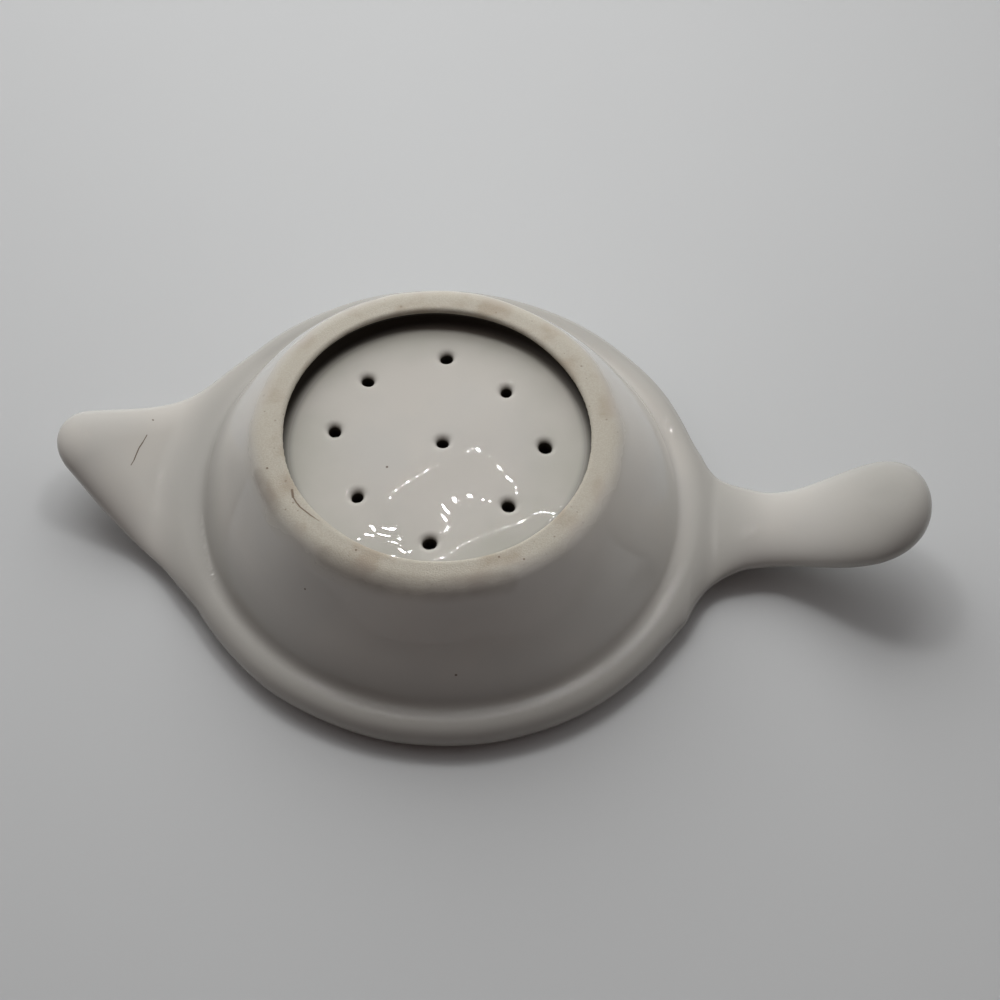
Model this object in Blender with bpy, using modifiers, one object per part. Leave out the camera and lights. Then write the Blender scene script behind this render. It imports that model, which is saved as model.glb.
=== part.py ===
"""Glazed ceramic tea strainer, standing upside down on its rim with the foot ring up.

Metres, +Z up, +X along the handle. The origin is at the middle of the length and width, on the table.
The bowl is turned and came out slightly oval. Its foot stands a little off the axis of the rim, so the
wall leans to meet it. The handle and the lip tab are a few degrees short of being in one line.
"""
import bpy
from math import asin, cos, degrees, pi, radians, sin, sqrt, tan
from mathutils import Matrix

MM = 0.001

# Fits
CLEARANCE = 0.30
CUT_OVERSHOOT = 1.0
MERGE_DISTANCE = 0.01

# Rim bead
RIM_RADIUS = 41.0
BEAD_RADIUS = 2.45
BEAD_REST_HALF_WIDTH = 0.60

# Bowl wall
WALL_THICKNESS = 3.40
WALL_CREASE_ANGLE = 140.0
WALL_BULGE_DEPTH = 0.50
WALL_EDGE_HEIGHT = 0.30
WALL_EDGE_ROUND = 1.30
SHOULDER_HEIGHT = 18.5
SHOULDER_RADIUS = 28.1
FOOT_OFFSET = 1.14
OVAL_STRETCH = 0.0187
OVAL_DIRECTION = 132.7

# Foot ring, measured from the shoulder
FOOT_RISE = 2.9
FOOT_EDGE_INSET = 3.2
FOOT_FLAT_WIDTH = 1.6
FOOT_OUTER_ROUND = 2.0
FOOT_INNER_SLOPE_WIDTH = 1.3
FOOT_INNER_ROUND = 1.2
RECESS_UNDERCUT = 0.60

# Strainer floor, its holes placed as shares of the hole ring about the foot's centre
FLOOR_DEPTH = 0.7
FLOOR_THICKNESS = 3.50
FLOOR_FILLET = 1.0
HOLE_RADIUS = 0.95
HOLE_MOUTH_RADIUS = 1.25
HOLE_MOUTH_DEPTH = 0.45
HOLE_EDGE_INSET = 6.6
CENTRE_HOLE = (0.047, 0.0)
HOLE_RING = (
    (4.2, 1.0056),
    (50.1, 0.8858),
    (93.4, 1.0203),
    (140.2, 1.0090),
    (179.2, 0.9792),
    (227.7, 0.9465),
    (274.6, 1.1180),
    (319.7, 0.9739),
)

# Handle, measured outwards from the rim
HANDLE_OVERHANG = 29.8
HANDLE_TURN = -1.5
HANDLE_ROOT_DEPTH = 2.4
HANDLE_WAIST_OUT = 9.5
HANDLE_WAIST_HALF_WIDTH = 6.40
HANDLE_ROOT_FILLET = 14.0
HANDLE_NOSE_LENGTH = 7.3
HANDLE_PADDLE_HALF_WIDTH = 8.55
HANDLE_ROOT_HALF_HEIGHT = 2.00
HANDLE_WAIST_HALF_HEIGHT = 2.90
HANDLE_PADDLE_HALF_HEIGHT = 3.60
HANDLE_ROOT_LEVEL = 3.10
HANDLE_WAIST_LEVEL = 4.00
HANDLE_LEVEL_OUT = 3.0
HANDLE_TIP_RISE = 12.5
HANDLE_RISE_OUT = 8.0
HANDLE_RISE_PAST = 2.2

# Lip tab, measured outwards from the rim
TAB_OVERHANG = 16.5
TAB_TURN = 1.5
TAB_ROOT_DEPTH = 10.0
TAB_TIP_RADIUS = 6.60
TAB_SIDE_ANGLE = 36.8
TAB_ROOT_HALF_HEIGHT = 2.10
TAB_HALF_HEIGHT = 3.00
TAB_LEVEL = 2.50
TAB_TIP_RISE = 9.60
TAB_RISE_OUT = 0.5
TAB_RISE_PAST = 4.0
NOSE_SHARE = 1.3

# Finishes
GLAZE_COLOUR = (0.78, 0.765, 0.725)
GLAZE_ROUGHNESS = 0.12
BISQUE_COLOUR = (0.70, 0.65, 0.55)
BISQUE_ROUGHNESS = 0.85

# Facets
TURN_STEPS = 80
BEAD_STEPS = 17
WALL_STEPS = 7
SEAT_STEPS = 5
EDGE_STEPS = 3
FOOT_OUTER_STEPS = 5
FOOT_INNER_STEPS = 4
FILLET_STEPS = 5
RIM_CUT_STEPS = 16
HOLE_STEPS = 20
SECTION_STEPS = 28
HANDLE_STEPS = 18
TAB_STEPS = 16
TIP_STEPS = 8

BEAD_CENTRE_RADIUS = RIM_RADIUS - BEAD_RADIUS
BEAD_LEVEL = sqrt(BEAD_RADIUS**2 - BEAD_REST_HALF_WIDTH**2)
SEAT_RADIUS = BEAD_RADIUS + CLEARANCE
CREASE_RADIUS = BEAD_CENTRE_RADIUS + SEAT_RADIUS * cos(radians(WALL_CREASE_ANGLE))
CREASE_HEIGHT = BEAD_LEVEL + SEAT_RADIUS * sin(radians(WALL_CREASE_ANGLE))
WALL_TAPER = (CREASE_RADIUS - SHOULDER_RADIUS) / (SHOULDER_HEIGHT - CREASE_HEIGHT)
WALL_RUN = sqrt(1.0 + WALL_TAPER**2)
FOOT_HEIGHT = SHOULDER_HEIGHT + FOOT_RISE
FOOT_FLAT_OUTER = SHOULDER_RADIUS - FOOT_EDGE_INSET
FOOT_FLAT_INNER = FOOT_FLAT_OUTER - FOOT_FLAT_WIDTH
FOOT_INNER_RADIUS = FOOT_FLAT_INNER - FOOT_INNER_SLOPE_WIDTH
FLOOR_HEIGHT = SHOULDER_HEIGHT - FLOOR_DEPTH
FLOOR_UNDERSIDE = FLOOR_HEIGHT - FLOOR_THICKNESS
HOLE_RING_RADIUS = FOOT_INNER_RADIUS - HOLE_EDGE_INSET
HANDLE_REACH = RIM_RADIUS + HANDLE_OVERHANG
HANDLE_START = RIM_RADIUS - HANDLE_ROOT_DEPTH
HANDLE_WAIST = RIM_RADIUS + HANDLE_WAIST_OUT
HANDLE_PADDLE = HANDLE_REACH - HANDLE_NOSE_LENGTH
TAB_REACH = RIM_RADIUS + TAB_OVERHANG
TAB_START = RIM_RADIUS - TAB_ROOT_DEPTH
AXIS_X = -(HANDLE_REACH - TAB_REACH) / 2.0


def smooth_step(t):
    """Rise from 0 to 1 with level ends."""
    t = min(max(t, 0.0), 1.0)
    return t * t * (3.0 - 2.0 * t)


def arc(centre, radius, start, end, steps):
    """Points of a circular arc, angles in degrees."""
    points = []
    for i in range(steps + 1):
        angle = radians(start + (end - start) * i / steps)
        points.append((centre[0] + radius * cos(angle), centre[1] + radius * sin(angle)))
    return points


def wall_radius(z, inset):
    """Radius of the leaning wall's outer face at a height, moved inwards square to the wall by an inset."""
    t = (z - CREASE_HEIGHT) / (SHOULDER_HEIGHT - CREASE_HEIGHT)
    bulge = 4.0 * WALL_BULGE_DEPTH * t * (1.0 - t) if 0.0 < t < 1.0 else 0.0
    return CREASE_RADIUS - WALL_TAPER * (z - CREASE_HEIGHT) + (bulge - inset) * WALL_RUN


def recess_radius(z):
    """Radius of the foot's undercut inner face at a height above the floor's fillet."""
    return FOOT_INNER_RADIUS + RECESS_UNDERCUT * (FOOT_HEIGHT - FOOT_INNER_ROUND - z)


def material(name, colour, roughness):
    """Ceramic material with one colour and roughness."""
    mat = bpy.data.materials.new(name)
    mat.use_nodes = True
    shader = mat.node_tree.nodes["Principled BSDF"]
    shader.inputs["Base Color"].default_value = (*colour, 1.0)
    shader.inputs["Roughness"].default_value = roughness
    shader.inputs["Metallic"].default_value = 0.0
    mat.diffuse_color = (*colour, 1.0)
    return mat


def add_object(name, mesh, collection, mat=None):
    """Link a mesh as a named object at the axis of the rim."""
    obj = bpy.data.objects.new(name, mesh)
    collection.objects.link(obj)
    if mat is not None:
        mesh.materials.append(mat)
    return obj


def turned(name, profile, collection, mat=None, closed=True, steps=TURN_STEPS):
    """Turn a profile of (radius, height) points about the axis of the rim."""
    mesh = bpy.data.meshes.new(name)
    verts = [(r * MM, 0.0, z * MM) for r, z in profile]
    edges = [(i, i + 1) for i in range(len(verts) - 1)]
    if closed:
        edges.append((len(verts) - 1, 0))
    mesh.from_pydata(verts, edges, [])
    obj = add_object(name, mesh, collection, mat)
    screw = obj.modifiers.new("turn", "SCREW")
    screw.steps = steps
    screw.render_steps = steps
    screw.use_merge_vertices = True
    screw.merge_threshold = MERGE_DISTANCE * MM
    screw.use_smooth_shade = True
    return obj


def lean_at(z):
    """Shift of the bowl's axis towards -Y at a height above the crease."""
    return -FOOT_OFFSET * max(0.0, z - CREASE_HEIGHT) / (FOOT_HEIGHT - CREASE_HEIGHT)


def hand_form(obj):
    """Give a turned piece the bowl's lean and its slight oval."""
    depsgraph = bpy.context.evaluated_depsgraph_get()
    mesh = bpy.data.meshes.new_from_object(obj.evaluated_get(depsgraph))
    for vertex in mesh.vertices:
        vertex.co.y += lean_at(vertex.co.z / MM) * MM
    turn = Matrix.Rotation(radians(OVAL_DIRECTION), 4, "Z")
    stretch = Matrix.Diagonal((1.0 + OVAL_STRETCH, 1.0 - OVAL_STRETCH, 1.0, 1.0))
    mesh.transform(turn @ stretch @ turn.inverted())
    obj.modifiers.clear()
    obj.data = mesh
    return obj


def cut(obj, cutter):
    """Take a cutter out of an object."""
    boolean = obj.modifiers.new("cut_" + cutter.name, "BOOLEAN")
    boolean.operation = "DIFFERENCE"
    boolean.solver = "EXACT"
    boolean.object = cutter


def make_cutter(obj):
    """Keep an object as an unseen cutter."""
    obj.hide_render = True
    obj.display_type = "WIRE"
    return obj


def rim_bead(collection, mat):
    """Rolled bead round the rim, with a narrow rest on its underside."""
    rest = degrees(asin(BEAD_REST_HALF_WIDTH / BEAD_RADIUS))
    centre = (BEAD_CENTRE_RADIUS, BEAD_LEVEL)
    section = arc(centre, BEAD_RADIUS, 270.0 - rest, rest - 90.0, BEAD_STEPS)
    return hand_form(turned("rim_bead", section, collection, mat))


def bowl_wall(collection, mat):
    """Flaring wall seated on the inner side of the bead."""
    seat_end = 180.0 + degrees(asin((BEAD_LEVEL - WALL_EDGE_HEIGHT) / SEAT_RADIUS))
    outer = []
    for i in range(WALL_STEPS):
        z = SHOULDER_HEIGHT + (CREASE_HEIGHT - SHOULDER_HEIGHT) * i / WALL_STEPS
        outer.append((wall_radius(z, 0.0), z))
    seat = arc((BEAD_CENTRE_RADIUS, BEAD_LEVEL), SEAT_RADIUS, WALL_CREASE_ANGLE, seat_end, SEAT_STEPS)
    edge_z = WALL_EDGE_HEIGHT + WALL_EDGE_ROUND
    edge_r = wall_radius(edge_z, WALL_THICKNESS) + WALL_EDGE_ROUND
    edge = arc((edge_r, edge_z), WALL_EDGE_ROUND, 270.0, 180.0, EDGE_STEPS)
    inner = []
    for i in range(1, WALL_STEPS + 1):
        z = edge_z + (SHOULDER_HEIGHT - edge_z) * i / WALL_STEPS
        inner.append((wall_radius(z, WALL_THICKNESS), z))
    return hand_form(turned("bowl_wall", outer + seat + edge + inner, collection, mat))


def foot_ring(collection, mat):
    """Unglazed foot ring with a flat standing face, seated on the shoulder of the bowl."""
    base = SHOULDER_HEIGHT + CLEARANCE
    round_z = FOOT_HEIGHT - FOOT_OUTER_ROUND
    outer = [(wall_radius(base, 0.0), base)]
    for i in range(1, FOOT_OUTER_STEPS + 1):
        t = radians(90.0 * i / FOOT_OUTER_STEPS)
        r = FOOT_FLAT_OUTER + (wall_radius(round_z, 0.0) - FOOT_FLAT_OUTER) * cos(t)
        outer.append((r, round_z + FOOT_OUTER_ROUND * sin(t)))
    inner = []
    for i in range(FOOT_INNER_STEPS + 1):
        t = radians(90.0 - 90.0 * i / FOOT_INNER_STEPS)
        r = FOOT_FLAT_INNER - FOOT_INNER_SLOPE_WIDTH * cos(t)
        inner.append((r, FOOT_HEIGHT - FOOT_INNER_ROUND * (1.0 - sin(t))))
    inner.append((recess_radius(base), base))
    return hand_form(turned("foot_ring", list(reversed(outer + inner)), collection, mat))


def strainer_floor(collection, cutters, mat):
    """Pierced floor with an upturned edge, carried inside the wall."""
    inset = WALL_THICKNESS + CLEARANCE
    lip = recess_radius(SHOULDER_HEIGHT)
    fillet_z = FLOOR_HEIGHT + FLOOR_FILLET
    profile = [(0.0, FLOOR_HEIGHT)]
    for i in range(FILLET_STEPS):
        t = radians(90.0 * i / FILLET_STEPS)
        z = min(fillet_z - FLOOR_FILLET * cos(t), SHOULDER_HEIGHT)
        profile.append((lip - FLOOR_FILLET * (1.0 - sin(t)), z))
    profile.append((lip, SHOULDER_HEIGHT))
    for z in (SHOULDER_HEIGHT, (SHOULDER_HEIGHT + FLOOR_UNDERSIDE) / 2.0, FLOOR_UNDERSIDE):
        profile.append((wall_radius(z, inset), z))
    profile.append((0.0, FLOOR_UNDERSIDE))
    obj = hand_form(turned("strainer_floor", profile, collection, mat, closed=False))
    centre = lean_at(FLOOR_HEIGHT)
    spots = [(CENTRE_HOLE[0] * HOLE_RING_RADIUS, centre + CENTRE_HOLE[1] * HOLE_RING_RADIUS)]
    for angle, share in HOLE_RING:
        radius = share * HOLE_RING_RADIUS
        spots.append((radius * cos(radians(angle)), centre + radius * sin(radians(angle))))
    for index, (x, y) in enumerate(spots):
        cut(obj, hole_cutter("hole_%d" % index, x, y, cutters))
    return obj


def hole_cutter(name, x, y, cutters):
    """Punched hole with a widened mouth on the foot side."""
    over_z = FLOOR_HEIGHT + CUT_OVERSHOOT
    under_z = FLOOR_UNDERSIDE - CUT_OVERSHOOT
    flare = (HOLE_MOUTH_RADIUS - HOLE_RADIUS) / HOLE_MOUTH_DEPTH
    over_radius = HOLE_MOUTH_RADIUS + flare * CUT_OVERSHOOT
    profile = [(0.0, over_z), (over_radius, over_z), (HOLE_RADIUS, FLOOR_HEIGHT - HOLE_MOUTH_DEPTH)]
    profile += [(HOLE_RADIUS, under_z), (0.0, under_z)]
    obj = turned(name, profile, cutters, closed=False, steps=HOLE_STEPS)
    obj.location = (x * MM, y * MM, 0.0)
    return make_cutter(obj)


def rim_cutter(cutters):
    """Everything inside the rim, with the bead grown by the clearance."""
    profile = [(0.0, SHOULDER_HEIGHT), (SHOULDER_RADIUS, SHOULDER_HEIGHT)]
    profile += arc((BEAD_CENTRE_RADIUS, BEAD_LEVEL), SEAT_RADIUS, 90.0, -90.0, RIM_CUT_STEPS)
    profile.append((0.0, BEAD_LEVEL - SEAT_RADIUS))
    return make_cutter(hand_form(turned("rim_clearance", profile, cutters, closed=False)))


def limb(name, side, stations, shape, collection, mat):
    """Loft of oval sections along a rising line that runs out from the rim.

    shape(s) gives the half width, the half height, the level and the slope of the line at a reach s.
    """
    verts = []
    faces = []
    for s in stations[:-1]:
        half_width, half_height, level, slope = shape(s)
        run = sqrt(1.0 + slope * slope)
        for i in range(SECTION_STEPS):
            angle = 2.0 * pi * i / SECTION_STEPS
            up = half_height * sin(angle)
            x = s - up * slope / run
            z = level + up / run
            verts.append((side * x * MM, side * half_width * cos(angle) * MM, z * MM))
    tip_level = shape(stations[-1])[2]
    verts.append((side * stations[-1] * MM, 0.0, tip_level * MM))
    last = (len(stations) - 2) * SECTION_STEPS
    for a in range(0, last, SECTION_STEPS):
        b = a + SECTION_STEPS
        for i in range(SECTION_STEPS):
            j = (i + 1) % SECTION_STEPS
            faces.append((a + j, b + j, b + i, a + i))
    for i in range(SECTION_STEPS):
        faces.append((last + (i + 1) % SECTION_STEPS, len(verts) - 1, last + i))
    faces.append(tuple(reversed(range(SECTION_STEPS))))
    mesh = bpy.data.meshes.new(name)
    mesh.from_pydata(verts, [], faces)
    for polygon in mesh.polygons:
        polygon.use_smooth = True
    return add_object(name, mesh, collection, mat)


def rise(s, start, end):
    """Share of a limb's rise that is reached at s, and its slope."""
    t = min(max((s - start) / (end - start), 0.0), 1.0)
    return smooth_step(t), 6.0 * t * (1.0 - t) / (end - start)


def tip_stations(start, body, reach, body_steps):
    """Even stations to the body, then stations that close up towards the tip."""
    stations = [start + (body - start) * i / body_steps for i in range(body_steps)]
    for i in range(TIP_STEPS + 1):
        stations.append(body + (reach - body) * sin(pi / 2.0 * i / TIP_STEPS))
    return stations


def oval(t):
    """Quarter of a circle: 1 at the start, 0 at the end."""
    return sqrt(max(0.0, 1.0 - t * t))


def nose_share(s, reach, half_height):
    """Share of a limb's half height that is left where its nose rounds off at s."""
    length = NOSE_SHARE * half_height
    return oval(max(0.0, (s - reach + length) / length))


def handle_shape(s):
    """Half width, half height, level and slope of the handle at a reach."""
    swell = HANDLE_PADDLE_HALF_WIDTH - HANDLE_WAIST_HALF_WIDTH
    far = smooth_step((s - HANDLE_WAIST) / (HANDLE_PADDLE - HANDLE_WAIST))
    if s < HANDLE_WAIST:
        back = HANDLE_WAIST - s
        width = HANDLE_WAIST_HALF_WIDTH + HANDLE_ROOT_FILLET - sqrt(HANDLE_ROOT_FILLET**2 - back**2)
    elif s < HANDLE_PADDLE:
        turn = pi * (s - HANDLE_WAIST) / (HANDLE_PADDLE - HANDLE_WAIST)
        width = HANDLE_WAIST_HALF_WIDTH + swell * (1.0 - cos(turn)) / 2.0
    else:
        width = HANDLE_PADDLE_HALF_WIDTH * oval((s - HANDLE_PADDLE) / HANDLE_NOSE_LENGTH)
    near = smooth_step((s - HANDLE_START) / (HANDLE_WAIST - HANDLE_START))
    height = HANDLE_ROOT_HALF_HEIGHT + (HANDLE_WAIST_HALF_HEIGHT - HANDLE_ROOT_HALF_HEIGHT) * near
    height += (HANDLE_PADDLE_HALF_HEIGHT - HANDLE_WAIST_HALF_HEIGHT) * far
    height *= nose_share(s, HANDLE_REACH, HANDLE_PADDLE_HALF_HEIGHT)
    settled, settle_slope = rise(s, BEAD_CENTRE_RADIUS, RIM_RADIUS + HANDLE_LEVEL_OUT)
    risen, rise_slope = rise(s, RIM_RADIUS + HANDLE_RISE_OUT, HANDLE_REACH + HANDLE_RISE_PAST)
    settle = HANDLE_WAIST_LEVEL - HANDLE_ROOT_LEVEL
    level = HANDLE_ROOT_LEVEL + settle * settled + HANDLE_TIP_RISE * risen
    return width, height, level, settle * settle_slope + HANDLE_TIP_RISE * rise_slope


def tab_shape(s):
    """Half width, half height, level and slope of the lip tab at a reach."""
    centre = TAB_REACH - TAB_TIP_RADIUS
    touch = centre + TAB_TIP_RADIUS * sin(radians(TAB_SIDE_ANGLE))
    touch_width = TAB_TIP_RADIUS * cos(radians(TAB_SIDE_ANGLE))
    if s < touch:
        width = touch_width + (touch - s) * tan(radians(TAB_SIDE_ANGLE))
    else:
        width = TAB_TIP_RADIUS * oval((s - centre) / TAB_TIP_RADIUS)
    grow = smooth_step((s - BEAD_CENTRE_RADIUS) / (centre - BEAD_CENTRE_RADIUS))
    height = TAB_ROOT_HALF_HEIGHT + (TAB_HALF_HEIGHT - TAB_ROOT_HALF_HEIGHT) * grow
    height *= nose_share(s, TAB_REACH, TAB_HALF_HEIGHT)
    risen, slope = rise(s, RIM_RADIUS + TAB_RISE_OUT, TAB_REACH + TAB_RISE_PAST)
    return width, height, TAB_LEVEL + TAB_TIP_RISE * risen, TAB_TIP_RISE * slope


def build():
    """Build the strainer's pieces and hang them on one empty at the axis of the rim."""
    for obj in list(bpy.data.objects):
        bpy.data.objects.remove(obj, do_unlink=True)
    parts = bpy.data.collections.new("tea_strainer")
    cutters = bpy.data.collections.new("cutters")
    bpy.context.scene.collection.children.link(parts)
    bpy.context.scene.collection.children.link(cutters)
    glaze = {}
    for name in ("bowl_wall", "rim_bead", "strainer_floor", "handle", "lip_tab"):
        glaze[name] = material("glaze_" + name, GLAZE_COLOUR, GLAZE_ROUGHNESS)

    bowl_wall(parts, glaze["bowl_wall"])
    rim_bead(parts, glaze["rim_bead"])
    foot_ring(parts, material("bisque_foot", BISQUE_COLOUR, BISQUE_ROUGHNESS))
    strainer_floor(parts, cutters, glaze["strainer_floor"])
    handle_at = tip_stations(HANDLE_START, HANDLE_PADDLE, HANDLE_REACH, HANDLE_STEPS)
    handle = limb("handle", 1.0, handle_at, handle_shape, parts, glaze["handle"])
    tab_at = tip_stations(TAB_START, TAB_REACH - TAB_TIP_RADIUS, TAB_REACH, TAB_STEPS)
    tab = limb("lip_tab", -1.0, tab_at, tab_shape, parts, glaze["lip_tab"])
    handle.rotation_euler.z = radians(HANDLE_TURN)
    tab.rotation_euler.z = radians(TAB_TURN)
    clearance = rim_cutter(cutters)
    for piece in (handle, tab):
        cut(piece, clearance)

    axis = bpy.data.objects.new("rim_axis", None)
    parts.objects.link(axis)
    axis.location = (AXIS_X * MM, 0.0, 0.0)
    for obj in list(parts.objects) + list(cutters.objects):
        if obj is not axis:
            obj.parent = axis


build()
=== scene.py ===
"""Glazed ceramic tea strainer, upside down on its rim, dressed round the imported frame.

Sizes in the classes are millimetres from the axis of the rim, with +X along the handle and the table at
zero height. One clay form is worked out from the turned bowl, the pierced floor, the handle and the lip
tab, run together as the glaze runs them together, and is then parted into the strainer's named pieces.
"""
import logging
from dataclasses import dataclass, field
from enum import Enum
from math import cos, pi, radians, sin, sqrt
from typing import Callable

import bmesh
import bpy
import numpy as np
from mathutils import Matrix, Vector


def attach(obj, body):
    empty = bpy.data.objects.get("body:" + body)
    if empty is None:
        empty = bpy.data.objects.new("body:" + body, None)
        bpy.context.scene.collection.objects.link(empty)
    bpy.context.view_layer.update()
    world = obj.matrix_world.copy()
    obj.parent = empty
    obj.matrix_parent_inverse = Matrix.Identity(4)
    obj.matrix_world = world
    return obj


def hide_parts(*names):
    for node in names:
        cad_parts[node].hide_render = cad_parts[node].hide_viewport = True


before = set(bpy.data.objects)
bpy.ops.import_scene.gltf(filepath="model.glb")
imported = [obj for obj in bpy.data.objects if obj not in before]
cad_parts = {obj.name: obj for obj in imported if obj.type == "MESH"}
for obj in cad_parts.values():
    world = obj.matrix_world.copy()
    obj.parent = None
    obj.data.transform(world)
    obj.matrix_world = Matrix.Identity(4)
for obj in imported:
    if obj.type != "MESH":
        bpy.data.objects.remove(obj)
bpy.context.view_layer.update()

LOG = logging.getLogger("tea_strainer")
MM = 0.001
AXIS_X = -6.65
FAR_AWAY = 50.0
TINY = 1e-6
LEAST_STEEP = 1e-3
LAST_CELL = 1.001
LINE_PASSES = 5
VALUE_OPERATIONS = ("DOT_PRODUCT", "DISTANCE", "LENGTH")

Colour = tuple[float, float, float]
Point = tuple[float, float, float]
Span = tuple[float, float]
Array = np.ndarray
Socket = bpy.types.NodeSocket


class Slot(Enum):
    """Material slot names, listed in each piece's spec."""

    GLAZE = "glaze"
    BISQUE = "bisque"


class Side(Enum):
    """Which way a limb points along the length of the strainer."""

    HANDLE = 1.0
    TAB = -1.0


def smooth_step(t: Array) -> Array:
    """Rise from 0 to 1 with level ends."""
    t = np.clip(t, 0.0, 1.0)
    return t * t * (3.0 - 2.0 * t)


def smooth_slope(t: Array) -> Array:
    """Slope of the level-ended rise."""
    t = np.clip(t, 0.0, 1.0)
    return 6.0 * t * (1.0 - t)


def run_together(a: Array, b: Array, reach: float | Array) -> Array:
    """Join the distances to two forms with a soft fillet that starts a reach away from the join."""
    share = np.maximum(reach - np.abs(a - b), 0.0) / reach
    return np.minimum(a, b) - share * share * reach / 4.0


def arc(centre: Span, size: Span, start: float, end: float, steps: int) -> list[Span]:
    """Points of an elliptical arc between two angles in degrees, as radius and height."""
    angles = [radians(start + (end - start) * i / steps) for i in range(steps + 1)]
    return [(centre[0] + size[0] * cos(a), centre[1] + size[1] * sin(a)) for a in angles]


@dataclass
class TurnedBowl:
    """Bowl wall, rolled rim, foot and floor, turned in one and leaning a little."""

    rim_radius: float = 41.0
    bead_radius: float = 2.45
    bead_rest: float = 0.60
    crease_angle: float = 140.0
    crease_fillet: float = 2.0
    wall: float = 3.40
    bulge: float = 0.50
    shoulder_height: float = 18.5
    shoulder_radius: float = 28.1
    foot_height: float = 21.4
    foot_flat_outer: float = 24.3
    foot_flat_inner: float = 22.7
    foot_round: float = 2.9
    foot_end: float = 36.5
    recess_radius: float = 22.0
    recess_round: float = 0.6
    recess_undercut: float = 0.60
    floor_height: float = 17.8
    floor_thickness: float = 3.5
    floor_fillet: float = 1.0
    floor_corner: tuple[Span, ...] = ((0.6, 1.0), (2.2, 0.2), (4.0, 0.0))
    wall_end: float = 2.6
    edge_height: float = 0.3
    edge_round: float = 1.3
    edge_inset: float = 1.2
    foot_offset: float = -1.14
    oval_stretch: float = 0.0187
    oval_direction: float = 132.7
    wave_reach: float = 20.5
    wave_base: float = 8.0
    wave_fade: float = 4.0
    table_step: float = 0.08
    table_low: Span = (-1.0, -4.0)
    table_high: Span = (52.0, 27.0)
    table: Array = field(init=False, repr=False)

    def __post_init__(self) -> None:
        """Work out the profile's distances once."""
        self.bead_centre = self.rim_radius - self.bead_radius
        self.bead_level = sqrt(self.bead_radius**2 - self.bead_rest**2)
        turn = radians(self.crease_angle)
        self.crease_radius = self.bead_centre + self.bead_radius * cos(turn)
        self.crease_height = self.bead_level + self.bead_radius * sin(turn)
        drop = self.shoulder_height - self.crease_height
        self.taper = (self.crease_radius - self.shoulder_radius) / drop
        self.table = self.distance_table()

    def wall_radius(self, z: float, inset: float) -> float:
        """Radius of the wall about the leaning axis at a height, inset square to the wall."""
        t = (z - self.crease_height) / (self.shoulder_height - self.crease_height)
        bulge = 4.0 * self.bulge * t * (1.0 - t) if t > 0.0 else 0.0
        run = sqrt(1.0 + self.taper**2)
        return self.crease_radius - self.taper * (z - self.crease_height) + (bulge - inset) * run

    def profile(self) -> list[Span]:
        """Half section of the turned form, from the top of the floor round to its underside."""
        fillet = self.floor_fillet
        top = self.foot_height - self.recess_round
        base = self.floor_height + fillet
        lip = self.recess_radius + self.recess_undercut * (top - base)
        points = [(0.0, self.floor_height)]
        points += arc((lip - fillet, base), (fillet, fillet), -90.0, 0.0, 10)
        inner = self.foot_flat_inner - self.recess_radius
        points += arc((self.foot_flat_inner, top), (inner, self.recess_round), 180.0, 90.0, 10)
        shoulder = self.foot_height - self.foot_round
        meet = shoulder + self.foot_round * sin(radians(self.foot_end))
        outer = (self.wall_radius(meet, 0.0) - self.foot_flat_outer) / cos(radians(self.foot_end))
        points += arc((self.foot_flat_outer, shoulder), (outer, self.foot_round), 90.0, self.foot_end, 12)
        for z in np.linspace(meet, self.crease_height, 17)[1:]:
            points.append((self.wall_radius(z, 0.0), float(z)))
        edge = self.edge_height + self.edge_round
        points.append((self.bead_centre, self.bead_level))
        points.append((self.bead_centre - self.edge_inset, self.edge_height))
        edge_radius = self.wall_radius(edge, self.wall) + self.edge_round
        points += arc((edge_radius, edge), (self.edge_round, self.edge_round), 270.0, 180.0, 6)
        under = self.floor_height - self.floor_thickness
        for z in np.linspace(edge, under - self.wall_end, 12)[1:]:
            points.append((self.wall_radius(z, self.wall), float(z)))
        corner = self.wall_radius(under, self.wall)
        points += [(corner - inward, under - down) for inward, down in self.floor_corner]
        points.append((0.0, under))
        return points

    def distance_table(self) -> Array:
        """Signed distances to the half section on a fine grid of radius and height."""
        r = np.arange(self.table_low[0], self.table_high[0], self.table_step)
        z = np.arange(self.table_low[1], self.table_high[1], self.table_step)
        grid_r, grid_z = np.meshgrid(r, z, indexing="ij")
        points = self.profile()
        nearest = np.full(grid_r.shape, FAR_AWAY)
        inside = np.zeros(grid_r.shape, dtype=bool)
        for (r0, z0), (r1, z1) in zip(points, points[1:] + points[:1]):
            dr, dz = r1 - r0, z1 - z0
            if r0 > 0.0 or r1 > 0.0:
                t = ((grid_r - r0) * dr + (grid_z - z0) * dz) / max(dr * dr + dz * dz, 1e-12)
                t = np.clip(t, 0.0, 1.0)
                gap = np.hypot(grid_r - r0 - t * dr, grid_z - z0 - t * dz)
                nearest = np.minimum(nearest, gap)
            if z0 != z1:
                crosses = (z0 > grid_z) != (z1 > grid_z)
                at = r0 + (grid_z - z0) * dr / dz
                inside ^= crosses & (np.abs(grid_r) < at)
        return np.where(inside, -nearest, nearest)

    def lean(self, z: Array) -> Array:
        """Shift of the turning axis along Y at a height."""
        rise = np.maximum(z - self.crease_height, 0.0) / (self.foot_height - self.crease_height)
        return self.foot_offset * rise

    def true_up(self, p: Array) -> tuple[Array, Array, Array]:
        """Flat coordinates of points about the turning axis without lean and oval, and heights."""
        c, s = cos(radians(self.oval_direction)), sin(radians(self.oval_direction))
        along = (p[:, 0] * c + p[:, 1] * s) / (1.0 + self.oval_stretch)
        across = (p[:, 1] * c - p[:, 0] * s) / (1.0 - self.oval_stretch)
        return along * c - across * s, along * s + across * c - self.lean(p[:, 2]), p[:, 2]

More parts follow.
